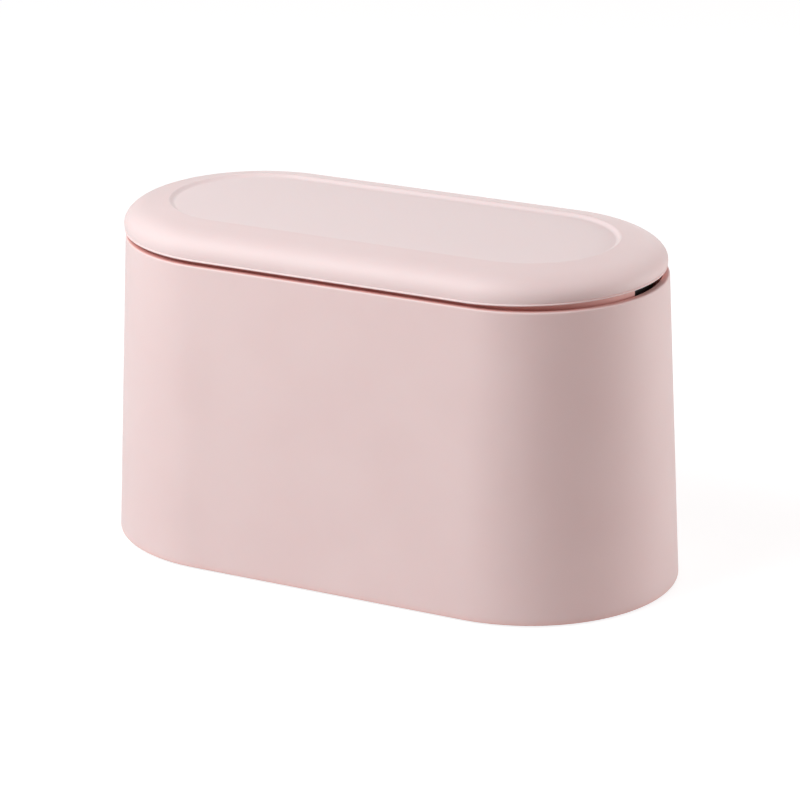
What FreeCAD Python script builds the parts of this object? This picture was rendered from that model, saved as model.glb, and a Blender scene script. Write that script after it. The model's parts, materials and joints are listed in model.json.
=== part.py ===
import FreeCAD, Part
import math
import os

# Press-to-open countertop trash can with a stadium plan: two half circles joined by straight sides.
# Millimetres. The origin is on the table under the middle, +X points to the latch, +Z is up.

# Body
base_length = 230.0
base_width = 115.0
shell_height = 119.3
wall_lean = 5.5
shell_wall = 2.0
foot_stand = 0.8

# Rim, and the seat ring inside it that the bucket hangs on
rim_width = 2.8
rim_round = 0.7
seat_depth = 8.1
seat_reach = 3.0
seat_thickness = 2.0
seat_gusset = 4.0

# Base plate and feet
base_recess = 0.8
base_thickness = 2.4
base_gap = 0.3
base_rib_height = 5.0
base_rib_wall = 1.6
base_rib_inset = 0.6
shell_boss_height = 12.0
foot_radius = 7.0
foot_pocket = 0.8
foot_inset = 15.0
foot_round = 0.6
foot_gap = 0.15

# Self-tapping screws
screw_shank = 1.4
screw_head = 2.6
screw_head_height = 1.7
screw_head_round = 0.7
screw_length = 8.0
screw_hole_gap = 0.3
thread_gap = 0.05
boss_wall = 2.0

# Bucket
bucket_gap = 0.4
bucket_flange = 1.8
bucket_neck_gap = 0.6
bucket_wall = 1.6
bucket_taper = 3.4
bucket_floor = 1.8
bucket_floor_gap = 2.0
bucket_corner = 6.0
bucket_lip_round = 0.8

# Collar
collar_flange = 2.0
throat_gap = 0.8
throat_wall = 1.6
throat_depth = 12.8
throat_taper = 0.6
throat_lip_round = 0.6

# Hinge at the -X end
hinge_inset = 2.5
hinge_rise = 0.95
pin_radius = 1.25
pin_gap = 0.05
knuckle_radius = 3.2
knuckle_gap = 0.3
knuckle_room = 0.75
collar_knuckle = 3.0
lid_knuckle = 2.8
hinge_side_gap = 1.1
hinge_web = 6.5

# Torsion spring on the hinge pin
torsion_wire = 0.8
torsion_mean_radius = 2.35
torsion_pitch = 1.4
torsion_half_turns = 7
torsion_leg = 8.0
spring_seat_gap = 0.05
spring_end_gap = 0.8

# Lid cap
lid_gap = 1.9
lid_set_in = 0.5
lid_set_back = 0.7
lip_round = 0.6
crown_height = 10.0
crown_width = 15.5
crown_bulge = 1.26
ridge_width = 1.4
recess_depth = 1.3
recess_slope = 2.6
cap_wall = 2.0
cap_skirt_height = 1.9
crown_rise_handle = 0.154
crown_side_handle = 1.042

# Lid liner
liner_rise = 1.4
liner_thickness = 1.8
liner_gap = 0.35
skirt_gap = 0.6
skirt_wall = 1.6
skirt_drop = 5.0
skirt_notch_gap = 0.8
liner_boss_inset = 1.5

# Push latch at the +X end
latch_end_gap = 2.6
housing_wall = 1.6
housing_floor = 2.0
housing_depth = 19.8
housing_rise = 5.2
housing_gap = 0.25
ear_reach = 8.5
ear_width = 8.0
ear_thickness = 2.0
nose_height = 4.6
nose_gap = 0.6
plunger_gap = 0.3
plunger_lift = 3.2
cheek_height = 6.2
cheek_wall = 1.4
cheek_floor = 1.7
post_half = 3.5
cavity_half_x = 4.4
cavity_half_y = 8.6
claw_pin = 0.8
claw_pivot_y = 5.4
claw_pivot_rise = 3.8
claw_half_width = 1.2
claw_gap = 0.3
claw_lip = 2.0
claw_reach = 2.1
striker_gap = 0.3
striker_head_half = 3.2
striker_head_height = 2.2
striker_stem_half = 1.3
striker_depth_half = 2.5
striker_lead = 0.8
striker_drop = 12.2
striker_flange_x = 5.0
striker_flange_y = 8.0
striker_flange_height = 1.6
striker_slot_gap = 0.35
striker_post = 2.0
latch_wire = 0.6
latch_mean_radius = 1.9
latch_half_turns = 13
spring_bore_gap = 0.3
spring_bore_rise = 6.8
cam_wire = 0.6
cam_wire_inset = 0.9
cam_wire_drop = 1.5
cam_wire_rise = 5.6
cam_wire_tip = 0.4
cam_wire_bite = 1.1
cam_bend = 0.7
cam_slot_half = 1.0
cam_slot_room = 1.8

# Worked out from the values above
half_straight = (base_length - base_width) / 2
base_radius = base_width / 2
rim_radius = base_radius - wall_lean
rim_z = foot_stand + shell_height
pocket_radius = rim_radius - rim_width
seat_z = rim_z - seat_depth
seat_radius = pocket_radius - seat_reach

base_under = foot_stand + base_recess
base_top = base_under + base_thickness
base_plate_radius = base_radius - shell_wall - base_gap
boss_radius = screw_shank + thread_gap + boss_wall
pilot_radius = screw_shank + thread_gap
screw_hole = screw_shank + screw_hole_gap
head_pocket = screw_head + screw_hole_gap
base_screw_seat = base_under + base_thickness / 2
base_boss_y = base_plate_radius - base_rib_inset - boss_radius

flange_radius = pocket_radius - bucket_gap
neck_radius = seat_radius - bucket_neck_gap
bucket_bottom = base_top + bucket_floor_gap
bucket_foot_radius = neck_radius - bucket_taper
collar_z = seat_z + bucket_flange

collar_top = collar_z + collar_flange
throat_radius = neck_radius - bucket_wall - throat_gap
throat_inner = throat_radius - throat_wall
throat_bottom = collar_z - throat_depth

hinge_x = -(half_straight + rim_radius - hinge_inset)
hinge_z = rim_z + hinge_rise
spring_half = torsion_pitch * torsion_half_turns / 4
collar_knuckle_start = spring_half + torsion_wire / 2 + spring_end_gap
collar_knuckle_end = collar_knuckle_start + collar_knuckle
lid_knuckle_start = collar_knuckle_end + knuckle_gap
hinge_half = lid_knuckle_start + lid_knuckle
hinge_cut_radius = knuckle_radius + knuckle_room
rim_notch_half = hinge_half + hinge_side_gap
lid_notch_half = hinge_half + knuckle_gap * 2

lid_radius = rim_radius - lid_set_in
lip_z = rim_z + lid_gap
side_z = lip_z + lip_round
crest_z = side_z + crown_height
crest_radius = lid_radius - crown_width
recess_radius = crest_radius - ridge_width
floor_z = crest_z - recess_depth
cap_inner = lid_radius - cap_wall

liner_z = lip_z + liner_rise
liner_top = liner_z + liner_thickness
liner_radius = cap_inner - liner_gap
skirt_radius = pocket_radius - skirt_gap
skirt_z = liner_z - skirt_drop
liner_boss_radius = crest_radius + liner_boss_inset

housing_half_x = cavity_half_x + housing_wall
housing_half_y = cavity_half_y + housing_wall
latch_x = half_straight + throat_inner - housing_half_x - latch_end_gap
deck_x = latch_x - housing_half_x - housing_gap
housing_bottom = collar_z - housing_depth
housing_top = collar_top + housing_rise
cavity_floor = housing_bottom + housing_floor
ear_y = housing_half_y + ear_reach / 2
plunger_bottom = cavity_floor + plunger_lift
pivot_z = plunger_bottom + claw_pivot_rise
striker_bottom = liner_z - striker_drop
striker_shoulder = striker_bottom + striker_head_height
claw_lip_z = striker_shoulder + claw_gap
claw_top = claw_lip_z + claw_lip
claw_half_x = cavity_half_x - plunger_gap - cheek_wall - claw_gap
spring_bore = latch_mean_radius + latch_wire / 2 + spring_bore_gap
skirt_notch_half = housing_half_y + skirt_notch_gap

tiny = 1e-6
origin = FreeCAD.Vector(0, 0, 0)
along_x = FreeCAD.Vector(1, 0, 0)
along_y = FreeCAD.Vector(0, 1, 0)
up = FreeCAD.Vector(0, 0, 1)


# Shapes that the pieces share

def radial(radius, z):
    """Point of a profile that is swept round the stadium plan."""
    return FreeCAD.Vector(0, -radius, z)


def lengthwise(x, z):
    """Point of a profile seen from the side, in the plane y = 0."""
    return FreeCAD.Vector(x, 0, z)


def crosswise(y, z):
    """Point of a profile seen from the latch end, in the plane through the latch."""
    return FreeCAD.Vector(latch_x, y, z)


def outline(place, start, *steps):
    """Closed flat face. A step of two numbers ends a straight line, four give an arc's middle and end,
    and six give a curve's two handles and end."""
    edges = []
    here = place(*start)
    for step in steps + (start,):
        points = [place(*step[i:i + 2]) for i in range(0, len(step), 2)]
        end = points[-1]
        if len(points) == 3:
            curve = Part.BezierCurve()
            curve.setPoles([here] + points)
            edges.append(curve.toShape())
        elif len(points) == 2:
            edges.append(Part.Arc(here, points[0], end).toShape())
        elif here.distanceToPoint(end) > tiny:
            edges.append(Part.LineSegment(here, end).toShape())
        here = end
    return Part.Face(Part.Wire(edges))


def rounded(place, *corners):
    """Closed flat face from corners (u, v), or (u, v, radius) where a tangent arc rounds the corner."""
    steps = []
    for before, corner, after in zip(corners[-1:] + corners[:-1], corners, corners[1:] + corners[:1]):
        if len(corner) == 2:
            steps.append(corner)
            continue
        tip = FreeCAD.Vector(corner[0], corner[1], 0)
        inward = (tip - FreeCAD.Vector(before[0], before[1], 0)).normalize()
        outward = (FreeCAD.Vector(after[0], after[1], 0) - tip).normalize()
        turn = inward.getAngle(outward)
        setback = corner[2] * math.tan(turn / 2)
        first = tip - inward * setback
        last = tip + outward * setback
        bulge = corner[2] / math.cos(turn / 2) - corner[2]
        middle = tip + (outward - inward).normalize() * bulge
        steps.append((first.x, first.y))
        steps.append((middle.x, middle.y, last.x, last.y))
    return outline(place, *steps)


def single(shape):
    """The one solid of a shape."""
    solids = shape.Solids
    if len(solids) != 1:
        raise ValueError("expected one solid, found %d" % len(solids))
    return solids[0]


def joined(first, *others):
    """One solid from pieces that overlap or share faces."""
    return single(first.fuse(list(others)).removeSplitter())


def without(shape, *tools):
    """The solid that is left when the tools are cut away."""
    return single(shape.cut(list(tools)))


def stadium_sweep(face):
    """A radial profile swept round the plan: turned at both ends, straight along both sides."""
    centre = along_x * half_straight
    end = face.translated(centre).revolve(centre, up, 180)
    side = face.translated(centre * -1).extrude(centre * 2)
    return joined(end, side, end.rotated(origin, up, 180), side.rotated(origin, up, 180))


def stadium_plate(radius, low, high):
    """Flat plate with the stadium outline."""
    return stadium_sweep(rounded(radial, (0, low), (radius, low), (radius, high), (0, high)))


def turned(face, x, y):
    """A radial profile turned once round the vertical line at x, y."""
    return single(face.translated(FreeCAD.Vector(x, y, 0)).revolve(FreeCAD.Vector(x, y, 0), up, 360))


def block(x0, x1, y0, y1, z0, z1):
    """Box between two corners."""
    return Part.makeBox(x1 - x0, y1 - y0, z1 - z0, FreeCAD.Vector(x0, y0, z0))


def post(x, y, low, high, radius):
    """Upright cylinder."""
    return Part.makeCylinder(radius, high - low, FreeCAD.Vector(x, y, low))


def hinge_bar(y0, y1, radius):
    """Cylinder on the hinge line."""
    return Part.makeCylinder(radius, y1 - y0, FreeCAD.Vector(hinge_x, y0, hinge_z), along_y)


def slab(face, y0, y1):
    """A side-view face made solid between two values of y."""
    return face.translated(along_y * y0).extrude(along_y * (y1 - y0))


def latch_bar(y, z, radius, half_length):
    """Cylinder along X, centred on the latch."""
    return Part.makeCylinder(radius, half_length * 2, FreeCAD.Vector(latch_x - half_length, y, z), along_x)


def four_corners(x, y):
    """A place repeated in the four quarters of the plan."""
    return [(sign_x * x, sign_y * y) for sign_x in (1, -1) for sign_y in (1, -1)]


def screw(x, y, seat, direction):
    """Pan-head screw whose head bears on the level seat, with its shank along direction (+1 up, -1 down)."""
    def place(radius, depth):
        return FreeCAD.Vector(0, -radius, seat + direction * depth)
    profile = rounded(
        place,
        (0, -screw_head_height),
        (screw_head, -screw_head_height, screw_head_round),
        (screw_head, 0),
        (screw_shank, 0),
        (screw_shank, screw_length),
        (0, screw_length),
    )
    return turned(profile, x, y)


def arc_from(start, tangent, end):
    """Middle point of the arc that leaves start along tangent and reaches end."""
    chord = end - start
    ahead = FreeCAD.Vector(chord).normalize()
    sideways = (tangent - ahead * tangent.dot(ahead)).normalize()
    rise = chord.Length / 2 * math.tan(tangent.getAngle(chord) / 2)
    return start + chord * 0.5 + sideways * rise


def biarc(start, leave, end, arrive):
    """Two arcs that run from start to end and share a tangent where they meet."""
    chord = end - start
    spread = 2 * (1 - leave.dot(arrive))
    slope = chord.dot(leave + arrive)
    reach = (math.sqrt(slope * slope + spread * chord.dot(chord)) - slope) / spread
    meet = (start + end + (leave - arrive) * reach) * 0.5
    first = Part.Arc(start, arc_from(start, leave, meet), meet)
    second = Part.Arc(meet, arc_from(end, arrive * -1, meet), end)
    return [first.toShape(), second.toShape()]


def wound_path(station, half_turns, lead_in, lead_out):
    """Wire path through the stations of a coil, one each half turn, with a straight lead at both ends."""
    stops = [station(i) for i in range(half_turns + 1)]
    stops[0] = (stops[0][0], FreeCAD.Vector(lead_in).normalize())
    stops[-1] = (stops[-1][0], FreeCAD.Vector(lead_out).normalize())
    edges = [Part.LineSegment(stops[0][0] - lead_in, stops[0][0]).toShape()]
    for (start, leave), (end, arrive) in zip(stops[:-1], stops[1:]):
        edges += biarc(start, leave, end, arrive)
    edges.append(Part.LineSegment(stops[-1][0], stops[-1][0] + lead_out).toShape())
    return edges


def tube(edges, radius):
    """Round wire along joined edges."""
    path = Part.Wire(edges)
    start = edges[0].valueAt(edges[0].FirstParameter)
    heading = edges[0].tangentAt(edges[0].FirstParameter)
    ring = Part.Wire(Part.makeCircle(radius, start, heading))
    return single(path.makePipeShell([ring], True, False))


def print_least_gap(name, edges, radius, turn_length):
    """Least gap between turns of a wire, measured on points along its path."""
    step = radius / 2
    points = Part.Wire(edges).discretize(Distance=step)
    apart = int(turn_length / 2 / step)
    gaps = [a.distanceToPoint(b) for i, a in enumerate(points) for b in points[i + apart:]]
    print("%s: least gap between turns %.2f mm" % (name, min(gaps) - 2 * radius))


# Body

def wall_radius(z):
    """Outside radius of the leaning wall at a height."""
    return base_radius - wall_lean * (z - foot_stand) / shell_height


def base_screw_places():
    """The base screws stand where the straight sides meet the round ends."""
    return four_corners(half_straight, base_boss_y)


def make_outer_shell():
    """Leaning wall with a thick rim, a seat ring inside it, a hinge notch and four screw bosses."""
    gusset_z = seat_z - seat_thickness - seat_gusset
    shell = stadium_sweep(rounded(
        radial,
        (base_radius, foot_stand),
        (rim_radius, rim_z, rim_round),
        (pocket_radius, rim_z, rim_round / 2),
        (pocket_radius, seat_z),
        (seat_radius, seat_z),
        (seat_radius, seat_z - seat_thickness),
        (wall_radius(gusset_z) - shell_wall, gusset_z),
        (base_radius - shell_wall, foot_stand),
    ))
    boss_top = base_top + shell_boss_height
    web_end = wall_radius(boss_top) - shell_wall / 4
    web_half = shell_wall / 2
    bosses = []
    pilots = []
    for x, y in base_screw_places():
        outer_y = math.copysign(web_end, y)
        bosses.append(post(x, y, base_top, boss_top, boss_radius))
        bosses.append(block(x - web_half, x + web_half, min(y, outer_y), max(y, outer_y), base_top, boss_top))
        pilots.append(post(x, y, base_top, boss_top - boss_wall, pilot_radius))
    notch_z = hinge_z - knuckle_radius - hinge_side_gap
    notch = block(-base_length, hinge_x + hinge_web, -rim_notch_half, rim_notch_half, notch_z, crest_z)
    return without(joined(shell, *bosses), notch, *pilots)


def make_base_plate():
    """Plate that closes the bottom, with an upstanding rib, foot pockets and screw holes."""
    plate = stadium_plate(base_plate_radius, base_under, base_top)
    rib_outside = base_plate_radius - base_rib_inset
    rib_inside = rib_outside - base_rib_wall
    rib_top = base_top + base_rib_height
    rib = stadium_sweep(rounded(
        radial,
        (rib_inside, base_under),
        (rib_outside, base_under),
        (rib_outside, rib_top),
        (rib_inside, rib_top),
    ))
    cuts = []
    boss_room = boss_radius + base_gap
    for x, y in base_screw_places():
        reach = math.copysign(base_radius, y)
        cuts.append(block(x - boss_room, x + boss_room, min(y, reach), max(y, reach), base_top, rib_top))
        cuts.append(post(x, y, base_top, rib_top, boss_room))
        cuts.append(post(x, y, base_under, base_screw_seat, head_pocket))
        cuts.append(post(x, y, base_under, base_top, screw_hole))
    for x, y in foot_places():
        cuts.append(post(x, y, base_under, base_under + foot_pocket, foot_radius + foot_gap))
    return without(joined(plate, rib), *cuts)


def make_base_screws():
    """Four screws that clamp the base plate to the shell's bosses."""
    return [screw(x, y, base_screw_seat, 1) for x, y in base_screw_places()]


def foot_places():
    """The feet stand on the diagonals of the round ends."""
    diagonal = (base_plate_radius - foot_inset) / math.sqrt(2)
    return four_corners(half_straight + diagonal, diagonal)


def make_rubber_feet():
    """Four round pads, each glued into its pocket."""
    profile = rounded(
        radial,
        (0, 0),
        (foot_radius, 0, foot_round),
        (foot_radius, base_under + foot_pocket),
        (0, base_under + foot_pocket),
    )
    return [turned(profile, x, y) for x, y in foot_places()]


# Bucket and collar

def make_inner_bucket():
    """Tapered bucket that hangs on the seat ring by its flange."""
    inner_corner = bucket_corner - bucket_wall
    return stadium_sweep(rounded(
        radial,
        (0, bucket_bottom),
        (bucket_foot_radius, bucket_bottom, bucket_corner),
        (neck_radius, seat_z),
        (flange_radius, seat_z),
        (flange_radius, collar_z),
        (neck_radius - bucket_wall, collar_z, bucket_lip_round),
        (bucket_foot_radius - bucket_wall, bucket_bottom + bucket_floor, inner_corner),
        (0, bucket_bottom + bucket_floor),
    ))


def latch_screw_places():
    """One latch screw on each side of the housing."""
    return [(latch_x, ear_y), (latch_x, -ear_y)]


def make_collar():
    """Bag ring with a throat, a deck that carries the latch, and the fixed half of the hinge."""
    foot_radius_inside = throat_inner - throat_taper
    ring = stadium_sweep(rounded(
        radial,
        (throat_radius - throat_taper, throat_bottom),
        (throat_radius, collar_z),
        (flange_radius, collar_z),
        (flange_radius, collar_top),
        (throat_inner, collar_top, throat_lip_round),
        (foot_radius_inside, throat_bottom),
    ))
    middle = throat_wall / 2
    core = stadium_sweep(rounded(
        radial,
        (0, throat_bottom),
        (foot_radius_inside + middle, throat_bottom),
        (throat_inner + middle, collar_top),
        (0, collar_top),
    ))
    curtain_x = deck_x - throat_wall
    deck = core.common(block(curtain_x, base_length, -base_width, base_width, collar_z, collar_top))
    curtain = core.common(block(curtain_x, deck_x, -base_width, base_width, throat_bottom, collar_top))
    bosses = [post(x, y, collar_top - screw_length - boss_wall, collar_top, boss_radius)
              for x, y in latch_screw_places()]
    pilots = [post(x, y, collar_top - screw_length, collar_top, pilot_radius)
              for x, y in latch_screw_places()]
    room_x = housing_half_x + housing_gap
    room_y = housing_half_y + housing_gap
    hole = block(latch_x - room_x, latch_x + room_x, -room_y, room_y, throat_bottom, collar_top)

    web_root = collar_top - collar_flange / 2
    web_back = -half_straight - math.sqrt(flange_radius ** 2 - collar_knuckle_end ** 2)
    web = outline(
        lengthwise,
        (web_back, web_root),
        (web_back, hinge_z - knuckle_radius),
        (hinge_x, hinge_z),
        (hinge_x + knuckle_radius, hinge_z),
        (web_back + hinge_web, web_root),
    )
    hinge = []
    for low, high in ((collar_knuckle_start, collar_knuckle_end), (-collar_knuckle_end, -collar_knuckle_start)):
        hinge.append(hinge_bar(low, high, knuckle_radius))
        hinge.append(slab(web, low, high))
    bore = hinge_bar(-hinge_half, hinge_half, pin_radius + pin_gap)
    leg_seat = hinge_z - torsion_mean_radius - torsion_wire / 2 - spring_seat_gap
    leg_y = -spring_half
    rib_half = torsion_wire * 1.5
    leg_rib = block(
        web_back, web_back + hinge_web, leg_y - rib_half, leg_y + rib_half, web_root, leg_seat)
    whole = joined(ring, deck, curtain, leg_rib, *bosses, *hinge)
    return without(whole, hole, bore, *pilots)


# Hinge

def make_hinge_pin():
    """Steel pin through all four knuckles."""
    return hinge_bar(-hinge_half, hinge_half, pin_radius)


def torsion_station(half_turns):
    """Point and heading on the torsion coil, counted in half turns from its lid end."""
    angle = math.pi * (half_turns + 0.5)
    y = spring_half - torsion_pitch * half_turns / 2
    spot = FreeCAD.Vector(
        hinge_x + torsion_mean_radius * math.cos(angle),
        y,
        hinge_z + torsion_mean_radius * math.sin(angle))
    heading = FreeCAD.Vector(
        -torsion_mean_radius * math.sin(angle),
        -torsion_pitch / (2 * math.pi),
        torsion_mean_radius * math.cos(angle))
    return spot, heading.normalize()


def make_hinge_spring():
    """Torsion spring: one leg under the lid's liner, a coil round the pin, one leg on the collar's rib."""
    edges = wound_path(torsion_station, torsion_half_turns, along_x * -torsion_leg, along_x * torsion_leg)
    print_least_gap("hinge_spring", edges, torsion_wire / 2, 2 * math.pi * torsion_mean_radius)
    return tube(edges, torsion_wire / 2)


# Lid

def liner_screw_places():
    """Three screws along each side of the lid, under its crest."""
    angle = math.radians(60)
    corner_x = half_straight + liner_boss_radius * math.cos(angle)
    corner_y = liner_boss_radius * math.sin(angle)
    return four_corners(corner_x, corner_y) + [(0, liner_boss_radius), (0, -liner_boss_radius)]


def crown_step(side, side_height, crest, height):
    """Curve that swells out from the lid's lip, rolls over and levels out at its crest."""
    return (
        side + crown_bulge, side_height + crown_rise_handle * (height - side_height),
        crest + crown_side_handle * (side - crest), height,
        crest, height,
    )


def recess_step(outer, height, inner, floor):
    """Soft step from the ridge down to the recess: steep outside, with a long hollow inside."""
    return (
        outer - (outer - inner) * 0.3, height,
        outer - (outer - inner) * 0.5, floor,
        inner, floor,
    )


def make_lid_cap():
    """Pillow-shaped outer skin of the lid, with bosses for the liner and posts that hold the striker."""
    recess_inner = recess_radius - recess_slope
    crown = outline(
        radial,
        (0, lip_z),
        (lid_radius - lip_round, lip_z),
        (
            lid_radius - lip_round * (1 - math.sqrt(0.5)), side_z - lip_round * math.sqrt(0.5),
            lid_radius, side_z,
        ),
        crown_step(lid_radius, side_z, crest_radius, crest_z),
        (recess_radius, crest_z),
        recess_step(recess_radius, crest_z, recess_inner, floor_z),
        (0, floor_z),
    )
    hollow_side = lip_z + cap_skirt_height
    hollow_crest = crest_z - cap_wall
    hollow = outline(
        radial,
        (0, lip_z),
        (cap_inner, lip_z),
        (cap_inner, hollow_side),
        crown_step(cap_inner, hollow_side, crest_radius, hollow_crest),
        (recess_radius - cap_wall / 2, hollow_crest),
        recess_step(recess_radius - cap_wall / 2, hollow_crest, recess_inner - cap_wall / 2, floor_z - cap_wall),
        (0, floor_z - cap_wall),
    )
    set_back = along_x * -lid_set_back
    crown_solid = stadium_sweep(crown).translated(set_back)
    skin = without(crown_solid, stadium_sweep(hollow).translated(set_back))
    boss_top = crest_z - cap_wall / 2
    bosses = [post(x, y, liner_top, boss_top, boss_radius) for x, y in liner_screw_places()]
    pilots = [post(x, y, liner_top, liner_z + screw_length + thread_gap, pilot_radius)
              for x, y in liner_screw_places()]
    flange_top = liner_top + striker_flange_height
    post_y = striker_flange_y - striker_post
    posts = [post(latch_x, y, flange_top, boss_top, striker_post) for y in (post_y, -post_y)]
    notch_top = hinge_z + hinge_cut_radius
    notch = block(-base_length, hinge_x + hinge_inset, -lid_notch_half, lid_notch_half, lip_z, notch_top)
    fittings = [piece.common(crown_solid) for piece in bosses + posts]
    return without(joined(skin, *fittings), notch, *pilots)


def make_lid_liner():
    """Plate under the cap with the inner skirt, which is notched at the latch and at the hinge."""
    plate = stadium_plate(liner_radius, liner_z, liner_top).translated(along_x * -lid_set_back)
    skirt = stadium_sweep(rounded(
        radial,
        (skirt_radius - skirt_wall, skirt_z),
        (skirt_radius, skirt_z, skirt_wall / 3),
        (skirt_radius, liner_top),
        (skirt_radius - skirt_wall, liner_top),
    ))
    latch_notch = block(latch_x, base_length, -skirt_notch_half, skirt_notch_half, skirt_z, liner_z)
    hinge_notch = block(-base_length, hinge_x + hinge_web * 2, -rim_notch_half, rim_notch_half, skirt_z, liner_z)
    skirt = skirt.cut([latch_notch, hinge_notch])

    web = outline(
        lengthwise,
        (hinge_x, hinge_z),
        (hinge_x + knuckle_radius, hinge_z),
        (hinge_x + hinge_web, liner_z),
        (hinge_x + hinge_web, liner_top),
        (hinge_x, hinge_z + knuckle_radius),
    )
    knuckles = []
    for low, high in ((lid_knuckle_start, hinge_half), (-hinge_half, -lid_knuckle_start)):
        knuckles.append(hinge_bar(low, high, knuckle_radius))
        knuckles.append(slab(web, low, high))
    hinge_room = hinge_bar(-lid_knuckle_start, lid_knuckle_start, hinge_cut_radius)
    bore = hinge_bar(-hinge_half, hinge_half, pin_radius + pin_gap)

    leg_top = hinge_z + torsion_mean_radius + torsion_wire / 2 + spring_seat_gap
    leg_half = torsion_wire / 2 + striker_slot_gap
    leg_end = hinge_x + torsion_leg + spring_end_gap
    leg_slot = block(hinge_x, leg_end, spring_half - leg_half, spring_half + leg_half, skirt_z, leg_top)
    holes = [post(x, y, liner_z, liner_top, screw_hole) for x, y in liner_screw_places()]
    slot_x = striker_depth_half + striker_slot_gap
    slot_y = striker_head_half + striker_slot_gap
    striker_slot = block(latch_x - slot_x, latch_x + slot_x, -slot_y, slot_y, liner_z, liner_top)
    whole = joined(plate, *skirt.Solids, *knuckles)
    return without(whole, hinge_room, bore, leg_slot, striker_slot, *holes)


def make_liner_screws():
    """Six screws driven up through the liner into the cap."""
    return [screw(x, y, liner_z, 1) for x, y in liner_screw_places()]


def make_lid_striker():
    """T-shaped striker: a flange on the liner, a stem through it and a head that the claws hold."""
    depth = along_x * striker_depth_half
    tee = rounded(
        crosswise,
        (-striker_stem_half, liner_top),
        (-striker_stem_half, striker_shoulder),
        (-striker_head_half, striker_shoulder),
        (-striker_head_half, striker_bottom, striker_lead),
        (striker_head_half, striker_bottom, striker_lead),
        (striker_head_half, striker_shoulder),
        (striker_stem_half, striker_shoulder),
        (striker_stem_half, liner_top),
    )
    stem = tee.translated(depth * -1).extrude(depth * 2)
    flange = block(
        latch_x - striker_flange_x, latch_x + striker_flange_x,
        -striker_flange_y, striker_flange_y,
        liner_top, liner_top + striker_flange_height)
    return joined(stem, flange)


# Push latch

def cam_wire_x():
    """The cam wire stands between the slider and the housing's outer wall."""
    return latch_x + cavity_half_x - cam_wire_inset


def make_latch_housing():
    """Deep box for the slider, with two screw ears and a nose that shows through the skirt's notch."""
    box = block(
        latch_x - housing_half_x, latch_x + housing_half_x,
        -housing_half_y, housing_half_y,
        housing_bottom, housing_top)
    ear_half = ear_width / 2
    ear_end = housing_half_y + ear_reach
    ears = block(
        latch_x - ear_half, latch_x + ear_half,
        -ear_end, ear_end,
        collar_top, collar_top + ear_thickness)
    nose_radius = skirt_radius - skirt_wall - nose_gap
    nose = stadium_plate(nose_radius, collar_top, collar_top + nose_height).common(
        block(latch_x, base_length, -housing_half_y, housing_half_y, collar_top, housing_top))
    cavity = block(
        latch_x - cavity_half_x, latch_x + cavity_half_x,
        -cavity_half_y, cavity_half_y,
        cavity_floor, housing_top)
    holes = [post(x, y, collar_top, collar_top + ear_thickness, screw_hole) for x, y in latch_screw_places()]
    wire_z = cavity_floor + cam_wire_drop
    wire_hole = Part.makeCylinder(
        cam_wire / 2 + thread_gap, cam_wire_inset + cam_wire_bite + thread_gap,
        FreeCAD.Vector(cam_wire_x(), 0, wire_z), along_x)
    return without(joined(box, ears, nose), cavity, wire_hole, *holes)


def make_latch_screws():
    """Two screws that hold the latch to the collar."""
    return [screw(x, y, collar_top + ear_thickness, -1) for x, y in latch_screw_places()]


def make_latch_plunger():
    """Slider with a post that the striker presses, cheeks for the claw pins, a spring bore and a wire slot."""
    half_x = cavity_half_x - plunger_gap
    half_y = cavity_half_y - plunger_gap
    post_top = striker_bottom - striker_gap
    cheek_top = plunger_bottom + cheek_height
    body = block(latch_x - half_x, latch_x + half_x, -half_y, half_y, plunger_bottom, cheek_top)
    middle = block(latch_x - half_x, latch_x + half_x, -post_half, post_half, plunger_bottom, post_top)
    pocket_half = half_x - cheek_wall
    pocket_floor = plunger_bottom + cheek_floor
    cuts = []
    for low, high in ((post_half, half_y), (-half_y, -post_half)):
        cuts.append(block(latch_x - pocket_half, latch_x + pocket_half, low, high, pocket_floor, cheek_top))
    for y in (claw_pivot_y, -claw_pivot_y):
        cuts.append(latch_bar(y, pivot_z, claw_pin + thread_gap, half_x))
    cuts.append(post(latch_x, 0, plunger_bottom, plunger_bottom + spring_bore_rise, spring_bore))
    slot_top = cavity_floor + cam_wire_drop + cam_wire_rise + cam_slot_room
    cuts.append(block(
        latch_x, latch_x + half_x, -cam_slot_half, cam_slot_half, plunger_bottom, slot_top))
    return without(joined(body, middle), *cuts)


def make_latch_claw(side):
    """Claw on one side of the slider: a round foot on its pin, an arm and a lip over the striker's head."""
    inner = claw_pivot_y - claw_half_width
    outer = claw_pivot_y + claw_half_width
    arm = rounded(
        crosswise,
        (side * inner, pivot_z),
        (side * inner, claw_lip_z),
        (side * claw_reach, claw_lip_z),
        (side * claw_reach, claw_top, claw_lip / 2),
        (side * outer, claw_top, claw_lip / 4),
        (side * outer, pivot_z),
    )
    depth = along_x * claw_half_x
    arm_solid = arm.translated(depth * -1).extrude(depth * 2)
    foot = latch_bar(side * claw_pivot_y, pivot_z, claw_half_width, claw_half_x)
    bore = latch_bar(side * claw_pivot_y, pivot_z, claw_pin + pin_gap, claw_half_x)
    return without(joined(arm_solid, foot), bore)


def make_latch_claw_pins():
    """Two pins across the slider's cheeks."""
    half_x = cavity_half_x - plunger_gap
    return [latch_bar(y, pivot_z, claw_pin, half_x) for y in (claw_pivot_y, -claw_pivot_y)]


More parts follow.
